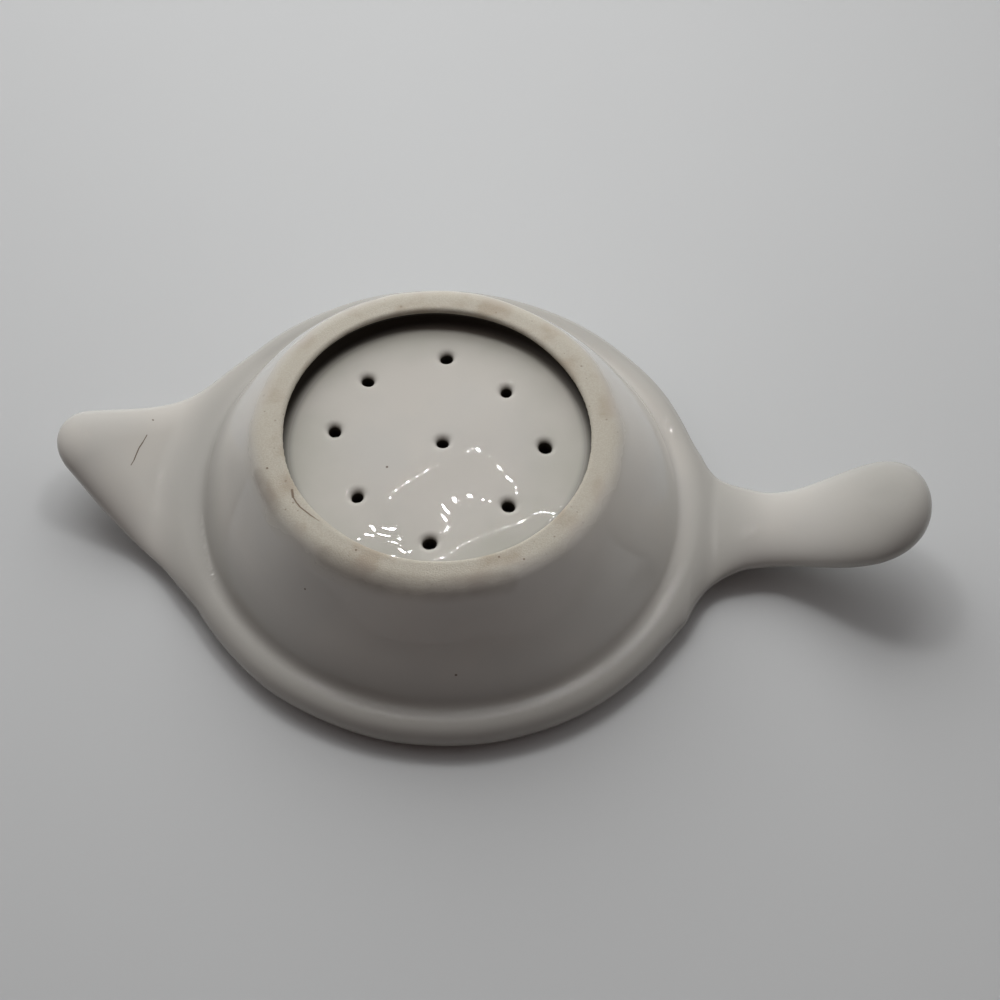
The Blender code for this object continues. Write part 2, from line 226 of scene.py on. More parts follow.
    def distance(self, p: Array, waves: Callable[[Array, Array], Array]) -> Array:
        """Signed distances to the turned bowl.

        Args:
            p: Points in millimetres, one a row.
            waves: Height of the floor's undulation at flat coordinates.

        Returns:
            Distances, negative in the clay.
        """
        x, y, z = self.true_up(p)
        r = np.hypot(x, y)
        level = smooth_step((self.wave_reach - r) / self.wave_fade)
        level *= smooth_step((z - self.wave_base) / self.wave_fade)
        column = (r - self.table_low[0]) / self.table_step
        row = (z - level * waves(x, y) - self.table_low[1]) / self.table_step
        column = np.clip(column, 0.0, self.table.shape[0] - LAST_CELL)
        row = np.clip(row, 0.0, self.table.shape[1] - LAST_CELL)
        i, j = column.astype(int), row.astype(int)
        u, v = column - i, row - j
        low = self.table[i, j] * (1.0 - u) + self.table[i + 1, j] * u
        high = self.table[i, j + 1] * (1.0 - u) + self.table[i + 1, j + 1] * u
        turned = low * (1.0 - v) + high * v
        bead = np.hypot(r - self.bead_centre, z - self.bead_level) - self.bead_radius
        return run_together(turned, bead, self.crease_fillet)


@dataclass
class PiercedFloor:
    """Strainer floor with nine punched holes and the slow waves of its glaze."""

    hole_radius: float = 0.85
    mouth_round: float = 1.1
    squeeze: float = 0.06
    wave_height: float = 0.022
    dimple: float = 0.06
    dimple_spread: float = 2.4
    twist: float = 1.7
    punch_reach: float = 4.0
    punch_base: float = 8.0
    swells: tuple[tuple[float, float, float, float], ...] = (
        (1.0, 0.29, 0.13, 0.6), (1.2, -0.12, 0.33, 2.1), (0.5, 0.52, -0.44, 1.2),
    )
    centre: Span = (0.72, 0.0)
    ring: tuple[Span, ...] = (
        (4.2, 15.5), (50.1, 13.6), (93.4, 15.7), (140.2, 15.5),
        (179.2, 15.1), (227.7, 14.6), (274.6, 17.2), (319.7, 15.0),
    )

    def spots(self, axis_y: float) -> list[Span]:
        """Centres of the holes about the foot's axis."""
        spots = [(self.centre[0], axis_y + self.centre[1])]
        for angle, radius in self.ring:
            spots.append((radius * cos(radians(angle)), axis_y + radius * sin(radians(angle))))
        return spots

    def waves(self, x: Array, y: Array) -> Array:
        """Slow undulation of the floor at flat coordinates."""
        height = np.zeros_like(x)
        for weight, along, across, phase in self.swells:
            height += weight * np.sin(along * x + across * y + phase)
        height *= self.wave_height
        for spot_x, spot_y in self.spots(0.0):
            gap = ((x - spot_x) ** 2 + (y - spot_y) ** 2) / self.dimple_spread**2
            height -= self.dimple * np.exp(-gap)
        return height

    def pierce(self, clay: Array, p: Array, axis_y: float) -> Array:
        """Punch the holes out of a form.

        Args:
            clay: Distances to the form.
            p: Points in millimetres, one a row.
            axis_y: Place of the foot's axis at the floor.

        Returns:
            Distances to the pierced form.
        """
        for index, (x, y) in enumerate(self.spots(axis_y)):
            dx, dy = p[:, 0] - x, p[:, 1] - y
            near = (np.abs(dx) < self.punch_reach) & (np.abs(dy) < self.punch_reach)
            near &= p[:, 2] > self.punch_base
            angle = np.arctan2(dy[near], dx[near])
            radius = self.hole_radius * (1.0 + self.squeeze * np.cos(2.0 * angle + self.twist * index))
            hole = np.hypot(dx[near], dy[near]) - radius
            clay[near] = -run_together(-clay[near], hole, self.mouth_round)
        return clay


@dataclass
class Limb:
    """What the handle and the lip tab share: a rising line that runs out from the rim."""

    side: Side
    turn: float
    start: float
    level: float
    rise: float
    rise_from: float
    rise_to: float
    fillet: float

    def line(self, s: Array) -> tuple[Array, Array]:
        """Height and slope of the middle line at a reach."""
        length = self.rise_to - self.rise_from
        t = (s - self.rise_from) / length
        return self.level + self.rise * smooth_step(t), self.rise * smooth_slope(t) / length

    def lay_out(self, p: Array) -> tuple[Array, Array, Array]:
        """Place points along the limb.

        Args:
            p: Points in millimetres, one a row.

        Returns:
            Reach along the middle line, sideways place, and height square to the line.
        """
        c, n = cos(radians(self.turn)), sin(radians(self.turn))
        out = self.side.value * (p[:, 0] * c + p[:, 1] * n)
        aside = p[:, 1] * c - p[:, 0] * n
        s = out.copy()
        for _ in range(LINE_PASSES):
            level, slope = self.line(s)
            run = 1.0 + slope * slope
            s += ((out - s) + (p[:, 2] - level) * slope) / run
        level, slope = self.line(s)
        up = ((p[:, 2] - level) - (out - s) * slope) / np.sqrt(1.0 + slope * slope)
        return s, aside, up


@dataclass
class Handle(Limb):
    """Waisted handle that rises to a rounded paddle."""

    reach: float = 70.8
    waist: float = 50.5
    waist_half_width: float = 6.40
    front_fillet: float = 12.0
    back_fillet: float = 15.0
    fillet_share: float = 0.98
    paddle: float = 63.5
    paddle_half_width: float = 8.55
    root_half_height: float = 1.60
    waist_half_height: float = 2.90
    paddle_half_height: float = 3.60
    settle: float = 1.4
    settle_from: float = 40.5
    settle_to: float = 47.0

    def line(self, s: Array) -> tuple[Array, Array]:
        """Height and slope of the middle line, which settles above the bead and then rises."""
        height, slope = super().line(s)
        length = self.settle_to - self.settle_from
        t = (s - self.settle_from) / length
        return height + self.settle * smooth_step(t), slope + self.settle * smooth_slope(t) / length

    def distance(self, p: Array) -> Array:
        """Signed distances to the handle."""
        s, aside, up = self.lay_out(p)
        back = np.clip(self.waist - s, 0.0, self.fillet_share * self.front_fillet)
        fillet = np.where(aside > 0.0, self.back_fillet, self.front_fillet)
        root = fillet - np.sqrt(fillet**2 - back**2)
        swell = (1.0 - np.cos(pi * np.clip((s - self.waist) / (self.paddle - self.waist), 0.0, 1.0))) / 2.0
        width = self.waist_half_width + root
        width += (self.paddle_half_width - self.waist_half_width) * swell
        near = smooth_step((s - self.start) / (self.waist - self.start))
        far = smooth_step((s - self.waist) / (self.paddle - self.waist))
        height = self.root_half_height + (self.waist_half_height - self.root_half_height) * near
        height += (self.paddle_half_height - self.waist_half_height) * far
        nose = self.reach - self.paddle
        tip = np.maximum(s - self.paddle, 0.0) / nose
        flat = np.hypot(aside / width, tip)
        power = 1.0 + tip**2 / np.maximum(flat**2, TINY)
        plan = flat**power
        ratio = np.hypot(up / height, plan)
        steep = np.sqrt((up / height**2) ** 2 + (aside / width**2) ** 2 + (power * tip / nose) ** 2)
        return ratio * (ratio - 1.0) / np.maximum(steep, LEAST_STEEP)


@dataclass
class LipTab(Limb):
    """Short pointed lip that rises opposite the handle."""

    reach: float = 57.5
    tip_radius: float = 6.60
    side_angle: float = 36.8
    half_height: float = 3.00
    root_half_height: float = 2.10
    edge: float = 6.0

    def distance(self, p: Array) -> Array:
        """Signed distances to the lip tab."""
        s, aside, up = self.lay_out(p)
        a = radians(self.side_angle)
        out, off = s - (self.reach - self.tip_radius), np.abs(aside)
        straight = off * sin(a) - out * cos(a) > 0.0
        plan = np.where(straight, out * sin(a) + off * cos(a), np.hypot(out, off)) - self.tip_radius
        grow = smooth_step((s - self.start) / (self.reach - self.tip_radius - self.start))
        height = self.root_half_height + (self.half_height - self.root_half_height) * grow
        rounding = np.maximum(1.0 + plan / self.edge, 0.0)
        ratio = np.hypot(up / height, rounding)
        steep = np.hypot(up / height**2, rounding / self.edge)
        return ratio * (ratio - 1.0) / np.maximum(steep, LEAST_STEEP)


@dataclass
class ClayForm:
    """The whole strainer as one fired form, from which the pieces are parted."""

    bowl: TurnedBowl
    floor: PiercedFloor
    handle: Handle
    tab: LipTab
    step: float = 0.42
    low: Point = (-60.3, -44.8, -1.0)
    high: Point = (73.2, 44.8, 22.6)
    hand: float = 0.05
    join_from: float = 28.0
    join_run: float = 9.0
    least_fillet: float = 0.3
    slope_gap: float = 0.04
    least_slope: float = 0.05
    block: int = 24

    def value(self, p: Array) -> Array:
        """Signed distances to the fired form.

        Args:
            p: Points in millimetres, one a row.

        Returns:
            Distances, negative in the clay.
        """
        clay = self.bowl.distance(p, self.floor.waves)
        for limb, beyond in ((self.handle, p[:, 0]), (self.tab, -p[:, 0])):
            near = beyond > self.join_from
            q = p[near]
            keep_out = limb.start - np.hypot(q[:, 0], q[:, 1])
            grown = smooth_step((beyond[near] - self.join_from) / self.join_run)
            reach = self.least_fillet + (limb.fillet - self.least_fillet) * grown
            clay[near] = run_together(clay[near], np.maximum(limb.distance(q), keep_out), reach)
        clay = self.floor.pierce(clay, p, float(self.bowl.lean(self.bowl.floor_height)))
        x, y, z = p[:, 0], p[:, 1], p[:, 2]
        uneven = np.sin(0.31 * x + 0.17 * z) * np.sin(0.27 * y + 0.7)
        uneven += np.sin(0.19 * y - 0.23 * x + 0.3 * z)
        return np.maximum(clay + self.hand * uneven, -z)

    def slope(self, p: Array) -> Array:
        """Gradient of the form's distances at points."""
        gap = self.slope_gap
        columns = []
        for axis in range(3):
            shift = np.zeros(3)
            shift[axis] = gap
            columns.append((self.value(p + shift) - self.value(p - shift)) / (2.0 * gap))
        return np.stack(columns, axis=1)

    def settle(self, p: Array, times: int) -> Array:
        """Bring points onto the surface of the form."""
        for _ in range(times):
            g = self.slope(p)
            move = self.value(p)[:, None] * g / np.maximum((g * g).sum(axis=1), self.least_slope)[:, None]
            p = p - np.clip(move, -self.step, self.step)
        return p

    def skin(self) -> tuple[Array, Array]:
        """Mesh the form's surface.

        Returns:
            Points in millimetres, and quads of point numbers.
        """
        axes = [np.arange(a, b, self.step) for a, b in zip(self.low, self.high)]
        shape = tuple(len(axis) for axis in axes)
        value = np.empty(shape)
        for i in range(0, shape[0], self.block):
            end = i + self.block
            block = np.stack(np.meshgrid(axes[0][i:end], axes[1], axes[2], indexing="ij"), axis=-1)
            value[i:end] = self.value(block.reshape(-1, 3)).reshape(block.shape[:3])
        points, quads = surface_net(value)
        points = self.settle(points * self.step + np.array(self.low), times=3)
        for _ in range(2):
            middle = points[quads].mean(axis=1)
            total = np.zeros_like(points)
            count = np.zeros(len(points))
            for corner in range(4):
                np.add.at(total, quads[:, corner], middle)
                np.add.at(count, quads[:, corner], 1.0)
            points = self.settle(total / count[:, None], times=2)
        return points, quads


def surface_net(value: Array) -> tuple[Array, Array]:
    """Mesh the zero level of a grid of values.

    Args:
        value: Signed distances on a regular grid.

    Returns:
        Points in grid steps, and outward quads of point numbers.
    """
    inside = value < 0.0
    cells = tuple(n - 1 for n in value.shape)
    corners = [(i, j, k) for i in (0, 1) for j in (0, 1) for k in (0, 1)]
    filled = np.zeros(cells, dtype=np.int8)
    for i, j, k in corners:
        filled += inside[i:cells[0] + i, j:cells[1] + j, k:cells[2] + k]
    active = np.argwhere((filled > 0) & (filled < 8))
    number = np.full(cells, -1, dtype=np.int64)
    number[tuple(active.T)] = np.arange(len(active))
    total = np.zeros((len(active), 3))
    count = np.zeros(len(active))
    for corner in corners:
        for axis in range(3):
            if corner[axis]:
                continue
            start = active + np.array(corner)
            end = start.copy()
            end[:, axis] += 1
            a, b = value[tuple(start.T)], value[tuple(end.T)]
            crosses = (a < 0.0) != (b < 0.0)
            place = np.tile(np.array(corner, dtype=float), (len(active), 1))
            place[crosses, axis] = a[crosses] / (a[crosses] - b[crosses])
            total[crosses] += place[crosses]
            count += crosses
    points = active + total / count[:, None]
    quads = []
    for axis in range(3):
        u, v = (axis + 1) % 3, (axis + 2) % 3
        near = [slice(1, -1)] * 3
        far = [slice(1, -1)] * 3
        near[axis], far[axis] = slice(0, -1), slice(1, None)
        change = inside[tuple(near)] != inside[tuple(far)]
        edge = np.argwhere(change) + 1
        edge[:, axis] -= 1
        ring = []
        for back_u, back_v in ((1, 1), (0, 1), (0, 0), (1, 0)):
            cell = edge.copy()
            cell[:, u] -= back_u
            cell[:, v] -= back_v
            ring.append(number[tuple(cell.T)])
        faces = np.stack(ring, axis=1)
        outward = inside[tuple(edge.T)]
        quads.append(np.where(outward[:, None], faces, faces[:, ::-1]))
    return points, np.concatenate(quads)


@dataclass(frozen=True)
class Cut:
    """Flat parting plane of the form: what lies on the keep side of it stays."""

    place: Point
    keep: Point
    ring: bool = False


@dataclass(frozen=True)
class PieceSpec:
    """One named piece of the strainer, with its cuts and the CAD nodes it stands for."""

    name: str
    nodes: tuple[str, ...]
    cuts: tuple[Cut, ...]
    slot: Slot


class Parting:
    """Parts the fired form into closed pieces along flat planes."""

    def __init__(self, form: ClayForm) -> None:
        """Mesh the form once."""
        self.form = form
        self.points, self.quads = form.skin()

    def whole(self) -> bmesh.types.BMesh:
        """Fresh copy of the form's skin."""
        mesh = bpy.data.meshes.new("skin")
        mesh.from_pydata(self.points.tolist(), [], self.quads.tolist())
        bm = bmesh.new()
        bm.from_mesh(mesh)
        bpy.data.meshes.remove(mesh)
        return bm

    def part(self, spec: PieceSpec) -> bpy.types.Object:
        """Cut one piece out of the form and close it.

        Args:
            spec: The piece and its cuts.

        Returns:
            The piece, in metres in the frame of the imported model.
        """
        bm = self.whole()
        for cut in spec.cuts:
            geometry = bm.verts[:] + bm.edges[:] + bm.faces[:]
            bmesh.ops.bisect_plane(bm, geom=geometry, dist=TINY, plane_co=cut.place, plane_no=cut.keep,
                                   clear_inner=True)
            edges = [edge for edge in bm.edges if edge.is_boundary]
            if cut.ring:
                bmesh.ops.bridge_loops(bm, edges=edges)
            else:
                bmesh.ops.contextual_create(bm, geom=edges)
        bmesh.ops.recalc_face_normals(bm, faces=bm.faces[:])
        mesh = bpy.data.meshes.new(spec.name)
        bm.to_mesh(mesh)
        bm.free()
        place = np.empty(len(mesh.vertices) * 3)
        mesh.vertices.foreach_get("co", place)
        slope = self.form.slope(place.reshape(-1, 3))
        slope /= np.maximum(np.linalg.norm(slope, axis=1), TINY)[:, None]
        mesh.transform(Matrix.Translation((AXIS_X * MM, 0.0, 0.0)) @ Matrix.Scale(MM, 4))
        mesh.polygons.foreach_set("use_smooth", [True] * len(mesh.polygons))
        mesh.normals_split_custom_set_from_vertices(slope.tolist())
        mesh.update()
        piece = bpy.data.objects.new(spec.name, mesh)
        bpy.context.scene.collection.objects.link(piece)
        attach(piece, "root")
        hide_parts(*spec.nodes)
        LOG.info("%s: %d faces", spec.name, len(mesh.polygons))
        return piece


class Graph:
    """Short hand for laying nodes into a tree."""

    def __init__(self, tree: bpy.types.NodeTree) -> None:
        """Keep the tree."""
        self.tree = tree

    def node(self, kind: str, settings: dict | None = None, **inputs: object) -> bpy.types.Node:
        """Add a node.

        Args:
            kind: Blender's type name of the node.
            settings: Properties of the node.
            inputs: Input values or output sockets, by input name with spaces as underscores.

        Returns:
            The new node.
        """
        node = self.tree.nodes.new(kind)
        for name, value in (settings or {}).items():
            setattr(node, name, value)
        for name, value in inputs.items():
            self.feed(node, name.replace("_", " "), value)
        return node

    def feed(self, node: bpy.types.Node, name: str | int, value: object) -> None:
        """Set an input, or link an output socket to it."""
        socket = node.inputs[name]
        if isinstance(value, Socket):
            self.tree.links.new(value, socket)
        else:
            socket.default_value = value

    def maths(self, operation: str, *values: object, clamp: bool = False) -> Socket:
        """Add a maths node and give its output."""
        node = self.tree.nodes.new("ShaderNodeMath")
        node.operation = operation
        node.use_clamp = clamp
        for index, value in enumerate(values):
            self.feed(node, index, value)
        return node.outputs[0]

    def times(self, a: object, b: object) -> Socket:
        """Multiply two values and give the output."""
        return self.maths("MULTIPLY", a, b)

    def vector(self, operation: str, *values: object) -> Socket:
        """Add a vector maths node and give its output, a plain value where the operation makes one."""
        node = self.node("ShaderNodeVectorMath", {"operation": operation})
        for index, value in enumerate(values):
            self.feed(node, index, value)
        return node.outputs["Value" if operation in VALUE_OPERATIONS else "Vector"]

    def scaled(self, vector: object, share: object) -> Socket:
        """Scale a vector and give the output."""
        node = self.node("ShaderNodeVectorMath", {"operation": "SCALE"}, Scale=share)
        self.feed(node, 0, vector)
        return node.outputs[0]

    def blend(self, share: object, a: object, b: object) -> Socket:
        """Mix two colours by a share and give the output."""
        node = self.tree.nodes.new("ShaderNodeMix")
        node.data_type = "RGBA"
        self.feed(node, 0, share)
        for index, colour in ((6, a), (7, b)):
            self.feed(node, index, (*colour, 1.0) if isinstance(colour, tuple) else colour)
        return node.outputs[2]

    def ramp(self, value: object, low: object, high: object) -> Socket:
        """Map a value smoothly to 0 at low and 1 at high."""
        node = self.node("ShaderNodeMapRange", {"interpolation_type": "SMOOTHSTEP"},
                         Value=value, From_Min=low, From_Max=high)
        return node.outputs[0]

    def between(self, value: object, low: object, high: object) -> Socket:
        """Map 0 to 1 straight onto low to high."""
        return self.node("ShaderNodeMapRange", Value=value, To_Min=low, To_Max=high).outputs[0]


def new_group(name: str, inputs: dict[str, object],
              outputs: tuple[str, ...]) -> tuple[Graph, dict, bpy.types.Node]:
    """Start a shader node group.

    Args:
        name: Name of the group.
        inputs: Input names after Position, with first values; a tuple of three makes a vector.
        outputs: Names of the value outputs.

    Returns:
        The graph to fill, the input sockets by name, and the output node.
    """
    tree = bpy.data.node_groups.new(name, "ShaderNodeTree")
    inputs = {"Position": (0.0, 0.0, 0.0), **inputs}
    for key, value in inputs.items():
        kind = "NodeSocketVector" if isinstance(value, tuple) else "NodeSocketFloat"
        socket = tree.interface.new_socket(key, in_out="INPUT", socket_type=kind)
        socket.default_value = value
    for key in outputs:
        tree.interface.new_socket(key, in_out="OUTPUT", socket_type="NodeSocketFloat")
    graph = Graph(tree)
    entry = graph.node("NodeGroupInput")
    return graph, {key: entry.outputs[key] for key in inputs}, graph.node("NodeGroupOutput")


class Effects:
    """Shader node groups that the finishes share. Positions in them are millimetres."""

    SPECK_LEAST = 0.4
    SPECK_CORE = 0.5
    STROKE_CORE = 0.35
    RECESS_MARGIN = 2.0
    RECESS_DEPTH = 1.0
    BRIM_SOFT = 0.5
    # Painted shade in the bores: depths below the floor where the darkening begins and ends.
    PAINTED_BORE_SHADE_TOP: Span = (0.35, 0.95)
    PAINTED_BORE_SHADE_END: Span = (3.35, 3.2)
    # Painted shade on the floor starts at this share of the recess radius.
    PAINTED_FLOOR_SHADE_SHARE = 0.45

    def __init__(self) -> None:
        """Build the groups once."""
        self.ripple = self.make_ripple()
        self.speckle = self.make_speckle()
        self.stroke = self.make_stroke()
        self.recess = self.make_recess()

    def make_ripple(self) -> bpy.types.NodeTree:
        """Slow tone and fine height of a fired surface."""
        graph, at, out = new_group(
            "fired_ripple", {"Cloud Size": 14.0, "Ripple Size": 3.0, "Grain Size": 0.25},
            ("Tone", "Height", "Grain"),
        )
        sizes = (("Cloud Size", 3.0, "Tone"), ("Ripple Size", 1.0, "Height"), ("Grain Size", 4.0, "Grain"))
        for key, detail, target in sizes:
            scale = graph.maths("DIVIDE", 1.0, at[key])
            noise = graph.node("ShaderNodeTexNoise", Vector=at["Position"], Scale=scale, Detail=detail)
            graph.feed(out, target, noise.outputs[0])
        return graph.tree

    def make_speckle(self) -> bpy.types.NodeTree:
        """Scattered round specks."""
        graph, at, out = new_group("fired_speckle", {"Spacing": 4.0, "Radius": 0.12, "Share": 0.2}, ("Mask",))
        cells = graph.node("ShaderNodeTexVoronoi", Vector=at["Position"],
                           Scale=graph.maths("DIVIDE", 1.0, at["Spacing"]))
        distance = graph.times(cells.outputs["Distance"], at["Spacing"])
        parts = graph.node("ShaderNodeSeparateColor", Color=cells.outputs["Color"])
        radius = graph.times(at["Radius"], graph.maths("ADD", parts.outputs[1], self.SPECK_LEAST))
        dot = graph.ramp(distance, radius, graph.times(radius, self.SPECK_CORE))
        chosen = graph.maths("LESS_THAN", parts.outputs[0], at["Share"])
        graph.feed(out, "Mask", graph.times(dot, chosen))
        return graph.tree

    def make_stroke(self) -> bpy.types.NodeTree:
        """Short mark between two points, or a spot where they are one."""
        graph, at, out = new_group(
            "surface_stroke", {"From": (0.0, 0.0, 0.0), "To": (1.0, 0.0, 0.0), "Radius": 0.1}, ("Mask",),
        )
        along = graph.vector("SUBTRACT", at["To"], at["From"])
        offset = graph.vector("SUBTRACT", at["Position"], at["From"])
        size = graph.maths("MAXIMUM", graph.vector("DOT_PRODUCT", along, along), TINY)
        share = graph.maths("DIVIDE", graph.vector("DOT_PRODUCT", offset, along), size, clamp=True)
        gap = graph.vector("DISTANCE", offset, graph.scaled(along, share))
        core = graph.times(at["Radius"], self.STROKE_CORE)
        graph.feed(out, "Mask", graph.ramp(gap, at["Radius"], core))
        return graph.tree

    def make_recess(self) -> bpy.types.NodeTree:
        """Radius about the foot's centre, with masks of painted shade: under the foot's inner edge, on the
        floor towards the recess wall, and in the bores.
        """
        graph, at, out = new_group(
            "foot_recess",
            {"Centre": (0.0, 0.0, 0.0), "Start": 20.4, "End": 22.9, "Brim": 20.6, "Floor": 17.8},
            ("Radius", "Painted Crevice Shade", "Painted Floor Shade", "Painted Bore Shade"),
        )
        offset = graph.vector("SUBTRACT", at["Position"], at["Centre"])
        radius = graph.vector("LENGTH", graph.vector("MULTIPLY", offset, (1.0, 1.0, 0.0)))
        height = graph.node("ShaderNodeSeparateXYZ", Vector=at["Position"]).outputs[2]
        depth = graph.maths("SUBTRACT", at["Floor"], height)
        inside = graph.maths("LESS_THAN", radius, graph.maths("ADD", at["End"], self.RECESS_MARGIN))
        above = graph.maths("LESS_THAN", depth, self.RECESS_DEPTH)
        under = graph.ramp(height, at["Brim"], graph.maths("SUBTRACT", at["Brim"], self.BRIM_SOFT))
        under = graph.times(graph.times(inside, under), above)
        # Painted shade inside the bores, where no light gets in.
        painted_bore_shade = graph.times(graph.ramp(depth, *self.PAINTED_BORE_SHADE_TOP), graph.ramp(depth, *self.PAINTED_BORE_SHADE_END))
        painted_bore_shade = graph.times(painted_bore_shade, graph.maths("LESS_THAN", radius, at["Start"]))
        # Painted shade in the undercut below the foot's inner edge, where the shadow falls.
        painted_crevice_shade = graph.ramp(radius, at["Start"], at["End"])
        # Painted shade on the floor, darker towards the recess wall, where the foot ring shades it.
        painted_floor_shade = graph.ramp(radius, graph.times(at["Start"], self.PAINTED_FLOOR_SHADE_SHARE), at["Start"])
        graph.feed(out, "Radius", radius)
        graph.feed(out, "Painted Crevice Shade", graph.times(painted_crevice_shade, under))
        graph.feed(out, "Painted Floor Shade", graph.times(painted_floor_shade, under))
        graph.feed(out, "Painted Bore Shade", painted_bore_shade)
        return graph.tree


@dataclass(frozen=True)
class Mark:
    """Dark mark on the surface, as a chain of points in millimetres from the origin."""

    points: tuple[Point, ...]
    radius: float


class Surface:
    """Material under construction, with the nodes that every finish starts from."""

    def __init__(self, name: str, effects: Effects) -> None:
        """Start a material with its shader and its place in millimetres."""
        self.effects = effects
        self.material = bpy.data.materials.new(name)
        self.material.use_nodes = True
        self.graph = Graph(self.material.node_tree)
        self.shader = self.material.node_tree.nodes["Principled BSDF"]
        place = self.graph.node("ShaderNodeTexCoord").outputs["Object"]
        self.place = self.graph.scaled(place, 1.0 / MM)

    def effect(self, tree: bpy.types.NodeTree, **inputs: object) -> bpy.types.Node:
        """Place a shared effect with its own values."""
        return self.graph.node("ShaderNodeGroup", {"node_tree": tree}, Position=self.place, **inputs)

    def marks(self, marks: tuple[Mark, ...]) -> Socket | float:
        """Mask of a set of marks."""
        mask: Socket | float = 0.0
        for mark in marks:
            ends = list(zip(mark.points, mark.points[1:])) or [(mark.points[0], mark.points[0])]
            for start, end in ends:
                stroke = self.effect(self.effects.stroke, From=start, To=end, Radius=mark.radius)
                mask = self.graph.maths("MAXIMUM", mask, stroke.outputs[0])
        return mask

    def bump(self, height: Socket, strength: float, distance: float) -> None:
        """Raise the surface's normals by a height."""
        bump = self.graph.node("ShaderNodeBump", Height=height, Strength=strength, Distance=distance * MM)
        self.graph.feed(self.shader, "Normal", bump.outputs[0])


@dataclass(frozen=True)
class GlazeFinish:
    """Clear milky glaze over pale clay."""

    name: str = "milk_glaze"
    colour: Colour = (0.572, 0.548, 0.504)
    cool: Colour = (0.542, 0.526, 0.490)
    speck: Colour = (0.16, 0.12, 0.09)
    # Painted shade: near-black colour for the undercut below the foot's inner edge and for the bores.
    painted_crevice_shade: Colour = (0.024, 0.017, 0.010)
    # Painted shade on the floor towards the recess wall.
    painted_floor_shade: Colour = (0.475, 0.465, 0.408)
    # Greyer glaze on the rim band and limb roots, partly thinner glaze and partly painted shade; painted
    # shade also on the paddle and the tab's tip, where the light falls off.
    thin_and_painted_shade: Colour = (0.370, 0.360, 0.332)
    cloud_span: Span = (0.35, 0.65)
    painted_floor_shade_span: Span = (0.20, 0.75)
    thin_and_painted_shade_band: Span = (35.5, 44.0)
    thin_and_painted_shade_soft: Span = (2.0, 4.0)
    far_painted_shade: Span = (53.0, 66.0)
    thin_and_painted_shade_share: float = 0.75
    thin_dull: float = 0.22
    crevice_dull: float = 0.9
    foot_centre: Point = (-6.65, -1.0, 0.0)
    thin_and_painted_shade_centre: Point = (-4.2, 0.0, 0.0)
    roughness: float = 0.010
    dull: float = 0.020
    refraction: float = 1.5
    bump_strength: float = 0.20
    bump_height: float = 0.06
    marks: tuple[Mark, ...] = ()

    def lay(self, surface: Surface) -> tuple[Socket, Socket, Socket]:
        """Lay the glaze's colour, roughness and height into a material."""
        graph = surface.graph
        ripple = surface.effect(surface.effects.ripple, Cloud_Size=16.0, Ripple_Size=4.5, Grain_Size=0.6)
        specks = surface.effect(surface.effects.speckle, Spacing=5.0, Radius=0.11, Share=0.09)
        cloud = graph.ramp(ripple.outputs["Tone"], *self.cloud_span)
        colour = graph.blend(cloud, self.colour, self.cool)
        dark = graph.maths("MAXIMUM", specks.outputs[0], surface.marks(self.marks))
        colour = graph.blend(dark, colour, self.speck)
        recess = surface.effect(surface.effects.recess, Centre=self.foot_centre)
        radius = recess.outputs["Radius"]
        rim = surface.effect(surface.effects.recess, Centre=self.thin_and_painted_shade_centre).outputs["Radius"]
        start, end = self.thin_and_painted_shade_band
        inner, outer = self.thin_and_painted_shade_soft
        # Rim band and limb roots: partly thinner glaze, partly painted shade.
        thin_and_painted_shade = graph.times(graph.ramp(rim, start - inner, start + inner),
                           graph.ramp(rim, end + outer, end - outer))
        # Adds painted shade on the handle's paddle and the tab's tip, where the light falls off.
        tone_and_painted_shade = graph.maths("MAXIMUM", thin_and_painted_shade, graph.ramp(radius, *self.far_painted_shade))
        colour = graph.blend(graph.times(tone_and_painted_shade, self.thin_and_painted_shade_share), colour, self.thin_and_painted_shade)
        # Painted floor shade, broken up by the glaze's cloud tone.
        painted_floor_shade_share = graph.times(recess.outputs["Painted Floor Shade"], graph.ramp(ripple.outputs["Tone"], *self.painted_floor_shade_span))
        colour = graph.blend(painted_floor_shade_share, colour, self.painted_floor_shade)
        # Painted shade in the undercut and the bores, near black.
        painted_crevice_bore_shade = graph.maths("MAXIMUM", recess.outputs["Painted Crevice Shade"], recess.outputs["Painted Bore Shade"])
        colour = graph.blend(painted_crevice_bore_shade, colour, self.painted_crevice_shade)
        rough = graph.between(ripple.outputs["Tone"], self.roughness, self.dull)
        matt = graph.maths("MAXIMUM", rough, graph.times(thin_and_painted_shade, self.thin_dull))
        matt = graph.maths("MAXIMUM", matt, graph.times(painted_crevice_bore_shade, self.crevice_dull))
        return colour, matt, ripple.outputs["Height"]

    def material(self, effects: Effects) -> bpy.types.Material:
        """Make the finish as a material."""
        surface = Surface(self.name, effects)
        colour, rough, height = self.lay(surface)
        surface.graph.feed(surface.shader, "Base Color", colour)
        surface.graph.feed(surface.shader, "Roughness", rough)
        surface.shader.inputs["IOR"].default_value = self.refraction
        surface.bump(height, self.bump_strength, self.bump_height)
        return surface.material


